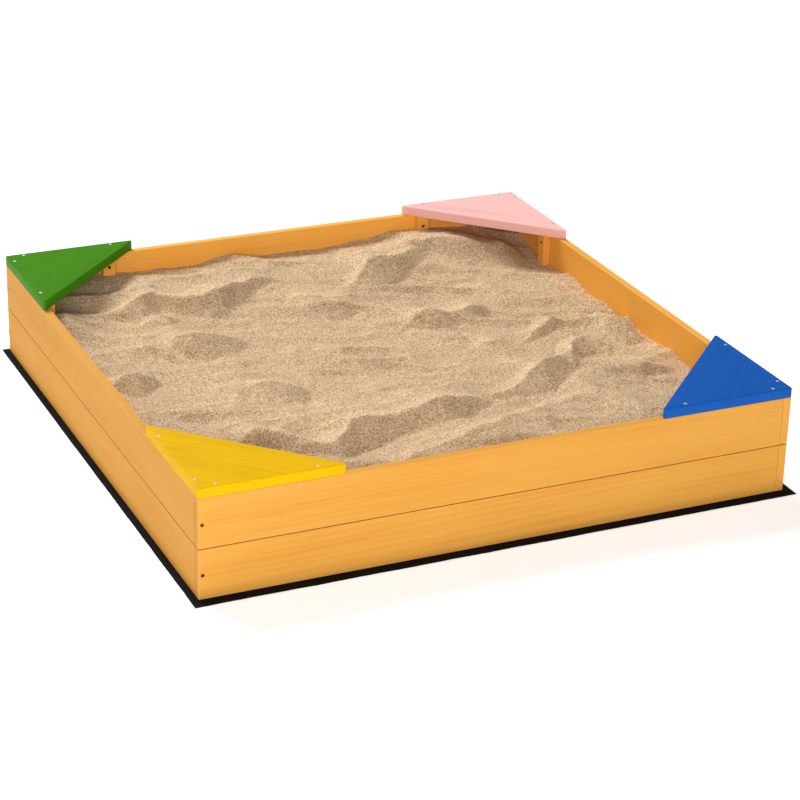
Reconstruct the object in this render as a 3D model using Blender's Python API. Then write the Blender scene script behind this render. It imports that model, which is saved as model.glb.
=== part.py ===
"""A square timber sandpit, two boards high, with four painted corner seats.

Metres, +Z up. The origin is on the ground, at the middle of the timber frame.
+X is east and +Y is north, and the four sides are named south, east, north and west.
Every side is the same as the one before it, turned a quarter turn about +Z.
"""

import math

import bmesh
import bpy
import numpy as np
from mathutils import Matrix, Vector

# Driving dimensions.
FRAME_SIDE = 1.194
BOARD_HEIGHT = 0.098
BOARD_THICKNESS = 0.016
BOARD_EDGE = 0.0012
COURSES = 2
SEAT_LEG = 0.283
SEAT_THICKNESS = 0.020
SEAT_EDGE = 0.0025
SEAT_EDGE_STEPS = 3
SEAT_TIP_RADIUS = 0.004
SEAT_CORNER_RADIUS = 0.0020
SHARP_RADIUS = 0.0005
BATTEN_WIDTH = 0.028
BATTEN_THICKNESS = 0.016
BATTEN_FROM_COVERED_END = 0.218
BATTEN_FROM_COVERING_END = 0.236
SHEET_SIDE = 1.226
SHEET_THICKNESS = 0.0012
SHEET_OFFSET = Vector((0.0015, -0.0075))
GAP = 0.0003

# Wood screws: a countersunk head on a plain shank with a short point.
SCREW_SIDES = 10
SHANK_RADIUS = 0.0018
HEAD_RADIUS = 0.0035
HEAD_DEPTH = 0.0022
POINT_LENGTH = 0.004
SEAT_SCREW_LENGTH = 0.045
CORNER_SCREW_LENGTH = 0.040
BATTEN_SCREW_LENGTH = 0.028
SCREW_ABOVE_BOARD_FOOT = 0.047
BATTEN_SCREW_ABOVE_FOOT = 0.074
SEAT_SCREW_INSET = 0.0095
SEAT_SCREW_NEAR = 0.037
SEAT_SCREW_FAR = 0.228

# The sand's level below the rim, the least depth of any peak below it, the rise along the north
# wall, the fall along the east wall, the mound in the north-west corner, and the size of the
# squares that the surface is made of.
SAND_BELOW_RIM = 0.060
SAND_PEAK_BELOW_RIM = 0.020
NORTH_BANK = 0.015
NORTH_BANK_REACH = 0.13
EAST_DIP = 0.011
EAST_DIP_FROM = 0.25
EAST_DIP_WIDTH = 0.30
CORNER_MOUND = 0.030
CORNER_MOUND_PLACE = (-0.56, 0.33)
CORNER_MOUND_REACH = 0.07
DUNE_END = 0.025
CREST_POWER = 1.7
SAND_CELL = 0.022

HALF = FRAME_SIDE / 2
INNER = HALF - BOARD_THICKNESS
FRAME_FOOT = SHEET_THICKNESS + GAP
RIM = FRAME_FOOT + COURSES * BOARD_HEIGHT
SEAT_FOOT = RIM + GAP
SEAT_TOP = SEAT_FOOT + SEAT_THICKNESS
BATTEN_TOP = RIM - 2 * GAP
BATTEN_FACE = INNER - GAP - BATTEN_THICKNESS
SIDES = ("south", "east", "north", "west")
COURSE_NAMES = ("lower", "upper")

# The corner at the west end of the south side comes first, as its side does.
SEATS = (
    ("yellow", (0.855, 0.503, 0.006)),
    ("blue", (0.017, 0.102, 0.413)),
    ("pink", (0.98, 0.61, 0.56)),
    ("green", (0.093, 0.305, 0.022)),
)

# Dunes of the sand. Each is a list of (x, y, width) points from west to east: where its crest is,
# and how wide the steep face on the south of it is. Then come the face's slope and the length of
# the gentle slope on the north of the crest.
DUNES = (
    # North-west, with two peaks, and the low one at its foot.
    (((-0.463, 0.372, 0.005), (-0.422, 0.363, 0.027), (-0.370, 0.388, 0.062),
      (-0.331, 0.408, 0.048), (-0.309, 0.386, 0.040), (-0.279, 0.364, 0.041),
      (-0.250, 0.353, 0.048), (-0.213, 0.362, 0.064), (-0.156, 0.394, 0.054),
      (-0.113, 0.420, 0.036), (-0.077, 0.424, 0.014), (-0.044, 0.430, 0.002)), 0.60, 0.17),
    (((-0.450, 0.331, 0.013), (-0.403, 0.293, 0.036), (-0.341, 0.314, 0.039),
      (-0.307, 0.318, 0.013)), 0.25, 0.05),
    # North-east: the ridge, the mound under the seat, and the low one south-west of them.
    (((0.073, 0.337, 0.012), (0.111, 0.372, 0.034), (0.151, 0.411, 0.072), (0.178, 0.417, 0.075),
      (0.212, 0.413, 0.063), (0.242, 0.427, 0.053), (0.290, 0.452, 0.031),
      (0.318, 0.459, 0.016)), 0.45, 0.15),
    (((0.314, 0.477, 0.003), (0.338, 0.477, 0.033), (0.361, 0.475, 0.049), (0.406, 0.466, 0.069),
      (0.451, 0.456, 0.070), (0.498, 0.450, 0.077), (0.528, 0.434, 0.048),
      (0.552, 0.405, 0.011)), 0.45, 0.11),
    (((-0.058, 0.327, 0.021), (-0.020, 0.308, 0.081), (0.017, 0.287, 0.083), (0.060, 0.279, 0.049),
      (0.085, 0.257, 0.017)), 0.22, 0.10),
    # West of the middle, and against the west wall.
    (((-0.386, 0.184, 0.016), (-0.358, 0.173, 0.065), (-0.327, 0.169, 0.082),
      (-0.290, 0.152, 0.075), (-0.251, 0.142, 0.042), (-0.222, 0.134, 0.019)), 0.42, 0.09),
    (((-0.442, 0.189, 0.007), (-0.419, 0.168, 0.027), (-0.399, 0.145, 0.026),
      (-0.380, 0.124, 0.011)), 0.35, 0.05),
    (((-0.575, 0.010, 0.020), (-0.548, 0.028, 0.030), (-0.523, 0.024, 0.068),
      (-0.501, 0.030, 0.061), (-0.467, 0.038, 0.031), (-0.446, 0.041, 0.004)), 0.50, 0.10),
    (((-0.316, -0.086, 0.007), (-0.285, -0.085, 0.053), (-0.255, -0.089, 0.070),
      (-0.228, -0.099, 0.063), (-0.201, -0.110, 0.036), (-0.188, -0.131, 0.008)), 0.32, 0.07),
    # East of the middle.
    (((0.114, 0.114, 0.005), (0.144, 0.130, 0.033), (0.171, 0.126, 0.051), (0.195, 0.117, 0.047),
      (0.209, 0.113, 0.036), (0.246, 0.128, 0.037), (0.287, 0.140, 0.034), (0.311, 0.141, 0.022),
      (0.330, 0.130, 0.002)), 0.52, 0.11),
    (((0.213, -0.028, 0.029), (0.252, -0.028, 0.051), (0.277, -0.046, 0.029)), 0.28, 0.06),
    (((0.317, -0.036, 0.008), (0.356, -0.004, 0.022), (0.395, 0.027, 0.026), (0.427, 0.043, 0.020),
      (0.447, 0.036, 0.004)), 0.55, 0.07),
    (((0.497, 0.018, 0.019), (0.510, 0.000, 0.055), (0.527, -0.020, 0.076), (0.547, -0.039, 0.066),
      (0.568, -0.068, 0.034)), 0.42, 0.07),
    # The long diagonal in the south-east, and the hollow beside it.
    (((0.097, -0.269, 0.005), (0.146, -0.266, 0.022), (0.183, -0.256, 0.036),
      (0.223, -0.233, 0.056), (0.266, -0.209, 0.076), (0.347, -0.159, 0.050),
      (0.397, -0.090, 0.052), (0.436, -0.070, 0.056), (0.464, -0.110, 0.044),
      (0.515, -0.164, 0.023), (0.559, -0.190, 0.005)), 0.44, 0.075),
    (((0.322, -0.159, 0.006), (0.342, -0.184, 0.034), (0.399, -0.206, 0.030),
      (0.473, -0.237, 0.032), (0.531, -0.258, 0.013)), 0.45, 0.03),
    # South-west, with three peaks.
    (((-0.417, -0.284, 0.002), (-0.393, -0.288, 0.022), (-0.368, -0.291, 0.045),
      (-0.354, -0.306, 0.048), (-0.333, -0.337, 0.044), (-0.313, -0.362, 0.036),
      (-0.286, -0.383, 0.031), (-0.266, -0.392, 0.035), (-0.247, -0.384, 0.051),
      (-0.205, -0.342, 0.067), (-0.171, -0.336, 0.067), (-0.141, -0.336, 0.055),
      (-0.099, -0.334, 0.038), (-0.064, -0.325, 0.044), (-0.026, -0.311, 0.061),
      (0.009, -0.303, 0.064), (0.043, -0.298, 0.045), (0.090, -0.290, 0.020),
      (0.124, -0.288, 0.002)), 0.60, 0.16),
    # The low one at the south wall.
    (((-0.167, -0.465, 0.005), (-0.087, -0.445, 0.024), (0.010, -0.414, 0.030),
      (0.109, -0.363, 0.036), (0.164, -0.359, 0.047), (0.195, -0.383, 0.042),
      (0.221, -0.416, 0.018), (0.244, -0.433, 0.003)), 0.34, 0.055),
)


def material(name, colour, roughness, metallic=0.0):
    """A Principled material of one colour."""
    made = bpy.data.materials.new(name)
    made.use_nodes = True
    shader = made.node_tree.nodes["Principled BSDF"]
    shader.inputs["Base Color"].default_value = (*colour, 1.0)
    shader.inputs["Roughness"].default_value = roughness
    shader.inputs["Metallic"].default_value = metallic
    made.diffuse_color = (*colour, 1.0)
    return made


def quarter_turn(count):
    return Matrix.Rotation(count * math.pi / 2, 4, "Z")


def add_object(name, mesh_builder, surface, place=None, parent=None):
    """A new object from a bmesh, with its material, its place and its parent."""
    mesh = bpy.data.meshes.new(name)
    mesh_builder.to_mesh(mesh)
    mesh_builder.free()
    mesh.materials.append(surface)
    made = bpy.data.objects.new(name, mesh)
    bpy.context.scene.collection.objects.link(made)
    made.matrix_world = place or Matrix.Identity(4)
    if parent:
        made.parent = parent
        made.matrix_parent_inverse = parent.matrix_world.inverted()
    return made


def block(low, high, edge=0.0):
    """A box between two corners, with its edges rounded over by edge."""
    bm = bmesh.new()
    low, high = Vector(low), Vector(high)
    bmesh.ops.create_cube(bm, size=1.0)
    size = high - low
    bmesh.ops.scale(bm, vec=size, verts=bm.verts)
    bmesh.ops.translate(bm, vec=(low + high) / 2, verts=bm.verts)
    if edge:
        bmesh.ops.bevel(bm, geom=list(bm.edges), offset=edge, segments=2, profile=0.5,
                        affect="EDGES", clamp_overlap=True)
    return bm


def turned(profile, sides):
    """A solid turned about +Z from (radius, height) points, from its top centre to its foot."""
    bm = bmesh.new()
    rings = []
    for radius, height in profile[1:-1]:
        ring = []
        for step in range(sides):
            angle = 2 * math.pi * step / sides
            ring.append(bm.verts.new((radius * math.cos(angle), radius * math.sin(angle), height)))
        rings.append(ring)
    top = bm.verts.new((0, 0, profile[0][1]))
    foot = bm.verts.new((0, 0, profile[-1][1]))
    for step in range(sides):
        following = (step + 1) % sides
        bm.faces.new((top, rings[0][step], rings[0][following]))
        bm.faces.new((foot, rings[-1][following], rings[-1][step]))
        for upper, lower in zip(rings, rings[1:]):
            bm.faces.new((upper[step], lower[step], lower[following], upper[following]))
    bmesh.ops.recalc_face_normals(bm, faces=bm.faces)
    return bm


def screw_profile(length, grown=0.0):
    """A screw from the middle of its head at the origin down to its point, grown all round."""
    head = HEAD_RADIUS + grown
    shank = SHANK_RADIUS + grown
    top = 0.010 if grown else 0.0
    points = [(0, top), (head, top)]
    if grown:
        points.append((head, -grown))
    points.append((shank, -HEAD_DEPTH - grown))
    points.append((shank, POINT_LENGTH - length))
    points.append((shank * 0.3, -length - grown))
    points.append((0, -length - grown))
    return points


def rounded_outline(corners, inset):
    """The (x, y) points of a polygon drawn in by inset, each corner rounded by its own radius.

    Each corner is (point, radius, steps in its arc), and they run anticlockwise.
    """
    outline = []
    for index, (corner, radius, steps) in enumerate(corners):
        corner = Vector(corner)
        before = (Vector(corners[index - 1][0]) - corner).normalized()
        after = (Vector(corners[(index + 1) % len(corners)][0]) - corner).normalized()
        half_angle = before.angle(after) / 2
        inward = (before + after).normalized() / math.sin(half_angle)
        rounding = max(radius - inset, SHARP_RADIUS)
        centre = corner + inward * (inset + rounding)
        start = corner + inward * inset + before * rounding / math.tan(half_angle) - centre
        turn = math.pi - 2 * half_angle
        for step in range(steps + 1):
            outline.append(centre + Matrix.Rotation(turn * step / steps, 2) @ start)
    return outline


def seat_plate():
    """The seat of the south-west corner, with its upper edges rounded over."""
    low = -HALF
    corners = (
        ((low, low), SEAT_CORNER_RADIUS, 2),
        ((low + SEAT_LEG, low), SEAT_TIP_RADIUS, 4),
        ((low, low + SEAT_LEG), SEAT_TIP_RADIUS, 4),
    )
    levels = [(0.0, SEAT_FOOT)]
    for step in range(SEAT_EDGE_STEPS + 1):
        angle = math.pi / 2 * step / SEAT_EDGE_STEPS
        inset = SEAT_EDGE * (1 - math.cos(angle))
        levels.append((inset, SEAT_TOP - SEAT_EDGE + SEAT_EDGE * math.sin(angle)))
    bm = bmesh.new()
    rings = []
    for inset, height in levels:
        outline = rounded_outline(corners, inset)
        rings.append([bm.verts.new((point.x, point.y, height)) for point in outline])
    bm.faces.new(rings[0][::-1])
    bm.faces.new(rings[-1])
    for lower, upper in zip(rings, rings[1:]):
        for index, start in enumerate(lower):
            following = (index + 1) % len(lower)
            bm.faces.new((start, lower[following], upper[following], upper[index]))
    return bm


def drill(target, cutter):
    """Cuts the cutter out of the target."""
    modifier = target.modifiers.new(cutter.name, "BOOLEAN")
    modifier.operation = "DIFFERENCE"
    modifier.object = cutter
    modifier.solver = "EXACT"


def add_screw(name, length, place, surface, drilled, parent):
    """A screw with its head's face on the place's origin, and its hole through each piece."""
    screw = add_object(name, turned(screw_profile(length), SCREW_SIDES), surface, place, parent)
    screw.data.shade_smooth()
    screw.data.set_sharp_from_angle(angle=math.radians(35))
    cutter_shape = turned(screw_profile(length, GAP), SCREW_SIDES)
    cutter = add_object(f"{name}_hole", cutter_shape, surface, place, parent)
    cutter.hide_render = True
    cutter.display_type = "WIRE"
    for target in drilled:
        drill(target, cutter)


def eased(value):
    """A value from 0 to 1, with its ends smoothed."""
    value = min(max(value, 0.0), 1.0)
    return value * value * (3 - 2 * value)


def sand_level(x, y):
    """The sand's height above the ground at (x, y)."""
    level = RIM - SAND_BELOW_RIM
    level += NORTH_BANK * math.exp(-((INNER - y) / NORTH_BANK_REACH) ** 2)
    level -= EAST_DIP * eased((x - EAST_DIP_FROM) / EAST_DIP_WIDTH)
    from_mound = math.dist((x, y), CORNER_MOUND_PLACE)
    level += CORNER_MOUND * math.exp(-(from_mound / CORNER_MOUND_REACH) ** 2)
    for points, slope, reach in DUNES:
        chain = np.array(points)
        crest = np.interp(x, chain[:, 0], chain[:, 1])
        width = max(np.interp(x, chain[:, 0], chain[:, 2]), GAP)
        from_end = min(x - chain[0, 0], chain[-1, 0] - x)
        inside = eased(from_end / DUNE_END + 0.5)
        face = min(max((y - crest + width) / width, 0.0), 1.0)
        back = min(max(1.0 - (y - crest) / reach, 0.0), 1.0) ** CREST_POWER
        level += inside * width * slope * face * back
    return min(level, RIM - SAND_PEAK_BELOW_RIM)


def grid_lines():
    """Lines across the sand: its edges, the sides of every batten notch, and even cells between."""
    edge = INNER - GAP
    notch = BATTEN_FACE - GAP
    lines = {-edge, -notch, notch, edge}
    for middle in (HALF - BATTEN_FROM_COVERED_END, HALF - BATTEN_FROM_COVERING_END):
        for side in (-1, 1):
            for end in (-1, 1):
                lines.add(side * middle + end * (BATTEN_WIDTH / 2 + GAP))
    fixed = sorted(lines)
    every = []
    for low, high in zip(fixed, fixed[1:]):
        count = max(1, round((high - low) / SAND_CELL))
        every += [low + (high - low) * step / count for step in range(count)]
    return every + [fixed[-1]]


def in_notch(x, y):
    """Whether a point lies in the space that a batten takes."""
    for count in range(4):
        turned_point = quarter_turn(-count) @ Vector((x, y, 0))
        if turned_point.y > -(BATTEN_FACE - GAP):
            continue
        for middle in (HALF - BATTEN_FROM_COVERED_END, -HALF + BATTEN_FROM_COVERING_END):
            if abs(turned_point.x - middle) < BATTEN_WIDTH / 2 + GAP:
                return True
    return False


def sand_body():
    """The sand: a flat foot, straight sides with a notch at every batten, and a dune surface."""
    bm = bmesh.new()
    lines = grid_lines()
    foot = FRAME_FOOT
    points = {}

    def vertex(column, row, upper):
        key = (column, row, upper)
        if key not in points:
            x, y = lines[column], lines[row]
            points[key] = bm.verts.new((x, y, sand_level(x, y) if upper else foot))
        return points[key]

    cells = set()
    for column in range(len(lines) - 1):
        for row in range(len(lines) - 1):
            middle_x = (lines[column] + lines[column + 1]) / 2
            middle_y = (lines[row] + lines[row + 1]) / 2
            if not in_notch(middle_x, middle_y):
                cells.add((column, row))
    for column, row in sorted(cells):
        ring = ((column, row), (column + 1, row), (column + 1, row + 1), (column, row + 1))
        bm.faces.new([vertex(*point, True) for point in ring])
        bm.faces.new([vertex(*point, False) for point in reversed(ring)])
        beyond = ((column, row - 1), (column + 1, row), (column, row + 1), (column - 1, row))
        for index, neighbour in enumerate(beyond):
            if neighbour in cells:
                continue
            start, end = ring[index], ring[(index + 1) % 4]
            wall = (vertex(*start, False), vertex(*end, False), vertex(*end, True),
                    vertex(*start, True))
            bm.faces.new(wall)
    flat = [face for face in bm.faces if all(vert.co.z == foot for vert in face.verts)]
    bmesh.ops.dissolve_faces(bm, faces=flat, use_verts=True)
    return bm


def clear_scene():
    for item in list(bpy.data.objects):
        bpy.data.objects.remove(item, do_unlink=True)


def main():
    clear_scene()
    timber = material("stained_timber", (0.80, 0.37, 0.07), 0.55)
    plated = material("plated_screw", (0.62, 0.62, 0.60), 0.35, 1.0)
    dark = material("dark_screw", (0.09, 0.05, 0.03), 0.5, 0.8)
    cloth = material("black_ground_cloth", (0.004, 0.004, 0.004), 0.8)
    grains = material("play_sand", (0.60, 0.42, 0.25), 0.95)
    frame = bpy.data.objects.new("sandpit", None)
    bpy.context.scene.collection.objects.link(frame)

    half_sheet = SHEET_SIDE / 2
    low = Vector((SHEET_OFFSET.x - half_sheet, SHEET_OFFSET.y - half_sheet, 0.0))
    high = Vector((SHEET_OFFSET.x + half_sheet, SHEET_OFFSET.y + half_sheet, SHEET_THICKNESS))
    add_object("ground_cover_sheet", block(low, high), cloth, parent=frame)

    boards = {}
    for turn, side in enumerate(SIDES):
        place = quarter_turn(turn)
        for course, course_name in enumerate(COURSE_NAMES):
            foot = FRAME_FOOT + course * BOARD_HEIGHT
            shape = block((-HALF, -HALF, foot + (GAP if course else 0.0)),
                          (INNER - GAP, -INNER, foot + BOARD_HEIGHT), BOARD_EDGE)
            name = f"{side}_{course_name}_board"
            boards[turn, course] = add_object(name, shape, timber, place, frame)
        ends = ((SIDES[turn - 1], -HALF + BATTEN_FROM_COVERING_END),
                (SIDES[(turn + 1) % len(SIDES)], HALF - BATTEN_FROM_COVERED_END))
        for end_name, middle in ends:
            shape = block((middle - BATTEN_WIDTH / 2, -INNER + GAP, FRAME_FOOT),
                          (middle + BATTEN_WIDTH / 2, -BATTEN_FACE, BATTEN_TOP), BOARD_EDGE)
            name = f"{side}_wall_{end_name}_batten"
            batten = add_object(name, shape, timber, place, frame)
            height = FRAME_FOOT + BOARD_HEIGHT + BATTEN_SCREW_ABOVE_FOOT
            facing = (Matrix.Translation((middle, -BATTEN_FACE, height))
                      @ Matrix.Rotation(-math.pi / 2, 4, "X"))
            add_screw(f"{name}_screw", BATTEN_SCREW_LENGTH, place @ facing, dark,
                      (batten, boards[turn, 1]), frame)

    for turn, side in enumerate(SIDES):
        place = quarter_turn(turn)
        neighbour = (turn - 1) % len(SIDES)
        for course, course_name in enumerate(COURSE_NAMES):
            height = FRAME_FOOT + course * BOARD_HEIGHT + SCREW_ABOVE_BOARD_FOOT
            facing = (Matrix.Translation((-HALF + BOARD_THICKNESS / 2, -HALF, height))
                      @ Matrix.Rotation(math.pi / 2, 4, "X"))
            add_screw(f"{side}_{course_name}_corner_screw", CORNER_SCREW_LENGTH, place @ facing,
                      dark, (boards[turn, course], boards[neighbour, course]), frame)

    for turn, (paint_name, colour) in enumerate(SEATS):
        place = quarter_turn(turn)
        paint = material(f"{paint_name}_paint", colour, 0.45)
        seat = add_object(f"{paint_name}_corner_seat", seat_plate(), paint, place, frame)
        neighbour = (turn - 1) % len(SIDES)
        spots = (
            ("near", SEAT_SCREW_NEAR, SEAT_SCREW_INSET, turn),
            ("far", SEAT_SCREW_FAR, SEAT_SCREW_INSET, turn),
            ("near", SEAT_SCREW_INSET, SEAT_SCREW_NEAR, neighbour),
            ("far", SEAT_SCREW_INSET, SEAT_SCREW_FAR, neighbour),
        )
        for spot, from_west, from_south, below in spots:
            facing = Matrix.Translation((-HALF + from_west, -HALF + from_south, SEAT_TOP))
            name = f"{paint_name}_seat_{SIDES[below]}_{spot}_screw"
            add_screw(name, SEAT_SCREW_LENGTH, place @ facing, plated,
                      (seat, boards[below, 1]), frame)

    add_object("sand_fill", sand_body(), grains, parent=frame)


main()
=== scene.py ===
import math

import bmesh
import bpy
import numpy as np
from mathutils import Matrix, Vector


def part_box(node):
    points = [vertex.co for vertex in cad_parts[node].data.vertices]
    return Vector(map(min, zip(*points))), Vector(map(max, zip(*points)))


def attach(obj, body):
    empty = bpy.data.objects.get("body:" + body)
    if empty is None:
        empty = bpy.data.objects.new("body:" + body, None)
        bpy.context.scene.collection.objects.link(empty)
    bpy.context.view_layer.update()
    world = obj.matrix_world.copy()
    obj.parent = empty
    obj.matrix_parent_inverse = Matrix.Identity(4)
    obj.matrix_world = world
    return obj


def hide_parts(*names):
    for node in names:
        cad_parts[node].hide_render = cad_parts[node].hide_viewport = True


# The looks of a square timber sandpit: stained boards, painted corner seats, screws,
# a black ground sheet and rippled sand. Metres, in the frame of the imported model.
# +X is east, +Y is north, and each side repeats the one before it, a quarter turn on.

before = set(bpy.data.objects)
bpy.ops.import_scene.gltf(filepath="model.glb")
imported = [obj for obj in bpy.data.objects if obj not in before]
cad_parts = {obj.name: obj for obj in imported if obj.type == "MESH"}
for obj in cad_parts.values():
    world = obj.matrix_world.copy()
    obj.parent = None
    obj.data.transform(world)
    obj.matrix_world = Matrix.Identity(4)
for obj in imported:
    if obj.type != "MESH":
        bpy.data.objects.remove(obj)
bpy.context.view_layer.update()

SIDES = ("south", "east", "north", "west")
COURSES = ("lower", "upper")
PAINTS = ("yellow", "blue", "pink", "green")
GAP = 0.0003

# Painted light and shade: how much lighter than the stain's own colour each side's wood is painted,
# for the light that falls on that side.
PAINTED_SIDE_LIGHT = {"south": 0.97, "east": 1.10, "north": 1.26, "west": 0.91}

# Wood: from pale to dark, along the grain and on a cut end.
STAIN = ((0.820, 0.408, 0.078), (0.785, 0.368, 0.062), (0.690, 0.290, 0.042))
END_STAIN = ((0.77, 0.355, 0.060), (0.60, 0.245, 0.038))
WORN_WOOD = (0.86, 0.50, 0.15)
SEAM_DARK_COLOUR = (0.22, 0.085, 0.014)
RING_SPACING = 0.0095
WORN_WIDTH = 0.0024
SEAM_DARK_WIDTH = 0.0017
SEAM_DARK_CORE = 0.0004

board_low, board_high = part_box("south_upper_board")
HALF = -board_low.x
INNER = -board_high.y
RIM = board_high.z
SEAM = board_low.z
FRAME_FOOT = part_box("south_lower_board")[0].z
SEAT_FOOT, SEAT_TOP = (corner.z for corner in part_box("yellow_corner_seat"))
BATTEN_FACE = -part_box("south_wall_west_batten")[1].y
SHEET_LOW, SHEET_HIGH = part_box("ground_cover_sheet")

# Camera: where it stands, which way it looks and how long its lens is.
CAMERA_PLACE = (-1.848, -4.128, 2.067)
CAMERA_AZIMUTH = math.radians(-24.743)
CAMERA_ELEVATION = math.radians(24.150)
CAMERA_ROLL = math.radians(1.529)
CAMERA_LENS = 109.66
CAMERA_SENSOR = 36.0

# Lights: watts, and the strength of the surround and of the floor's own glow.
KEY_WATTS = 830.0
FILL_WATTS = 92.0
SURROUND = 0.32
FLOOR_GLOW = 0.50

# Seats.
SEAT_LEG = 0.283
SEAT_LOWER_EDGE = 0.0010
SEAT_EDGE = 0.0025
SEAT_TIP_RADIUS = 0.004
SEAT_CORNER_RADIUS = 0.0020
SHARP_RADIUS = 0.0005
SEAT_SCREW_INSET = 0.0095
SEAT_SCREW_NEAR = 0.037
SEAT_SCREW_FAR = 0.228

# Screws.
SCREW_SIDES = 40
HEAD_RADIUS = 0.0035
HEAD_DEPTH = 0.0022
HEAD_CROWN = 0.0004
CORE_RADIUS = 0.0013
SHANK_RADIUS = 0.0018
THREAD_PITCH = 0.0021
THREADED_SHARE = 0.55
RINGS_PER_PITCH = 4
POINT_LENGTH = 0.004
SEAT_SCREW_LENGTH = 0.045
CORNER_SCREW_LENGTH = 0.040
BATTEN_SCREW_LENGTH = 0.028
RECESS_ARM = 0.0019
RECESS_WIDTH = 0.0007
RECESS_DEPTH = 0.0014

# Ground cloth: its tapes, its thickness, the cells of its mesh and how high its loose edge lifts.
TAPE = 0.0022
CLOTH_THICKNESS = 0.0007
CLOTH_CELL = 0.012
CLOTH_LIFT = 0.0011
CLOTH_FRAY = 0.0007

# Sand. A dune is a list of (x, y, width) points from west to east: where its crest is, and how
# wide the steep face on the south of it is. Then come the face's slope and the length of the
# gentle slope on the north of the crest.
SAND_BELOW_RIM = 0.060
SAND_PEAK_BELOW_RIM = 0.019
SAND_CELL = 0.0045
NORTH_BANK = 0.015
NORTH_BANK_REACH = 0.13
EAST_DIP = 0.011
CORNER_MOUND = 0.030
EAST_MOUND = 0.020
CREST_POWER = 1.7
# Painted shade and highlight on the sand: how far north of a crest its painted highlight reaches, the
# way toward the light, and the dune heights at which the painted shade on the face and the painted
# highlight by the crest are full.
CREST_HIGHLIGHT_REACH = 0.050
TOWARD_LIGHT = (-0.35, 0.94)
BOLD_HEIGHT = 0.048
MARKED_HEIGHT = 0.020
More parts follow.
